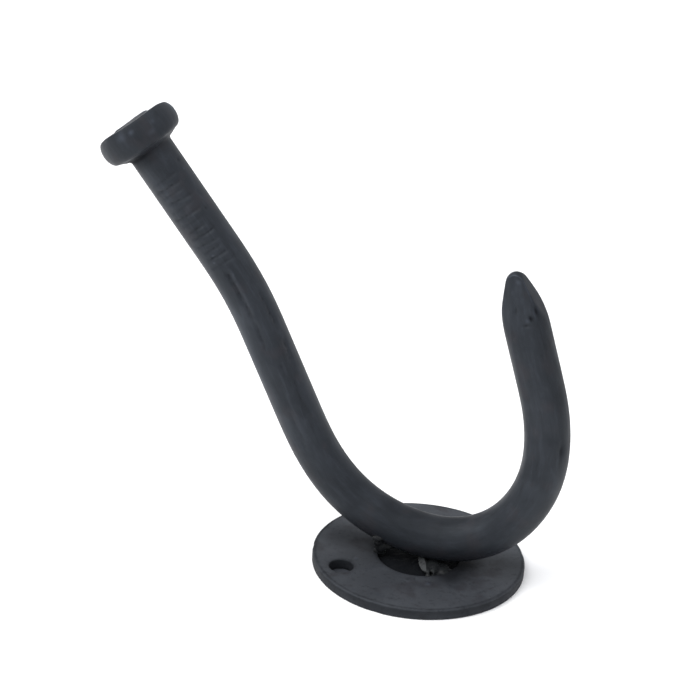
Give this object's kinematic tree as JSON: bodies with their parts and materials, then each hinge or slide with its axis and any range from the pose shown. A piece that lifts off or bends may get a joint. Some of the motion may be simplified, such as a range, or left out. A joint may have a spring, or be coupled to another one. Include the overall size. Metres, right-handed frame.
{
  "type": "wall hook",
  "caption": "Blackened steel wall hook bent from an oversized nail, its head up one arm and its blunt point up the other, welded across a round plate with screw holes.",
  "frame": {"origin": "centre of the round plate's back face, the face that goes against the wall", "axes": "+Z out of the wall, square to the plate; the nail is bent in the XZ plane, its headed arm towards -X and its pointed arm towards +X; with -X up the headed arm is the hat peg above the coat hook"},
  "size_m": [0.1097, 0.0482, 0.1005],
  "materials": {
    "nail_steel": "matt black-grey oxide skin on drawn steel, mottled, slightly lighter where handled",
    "plate_steel": "matt black-grey oxide skin on blanked sheet steel",
    "weld_metal": "rippled weld metal, sooty with brighter bare spots"
  },
  "bodies": {
    "root": {"nail_hook": "nail_steel", "mounting_plate": "plate_steel", "plug_weld": "weld_metal", "weld_bead_front_left": "weld_metal", "weld_bead_front_right": "weld_metal", "weld_bead_rear_left": "weld_metal", "weld_bead_rear_right": "weld_metal"}
  },
  "joints": []
}
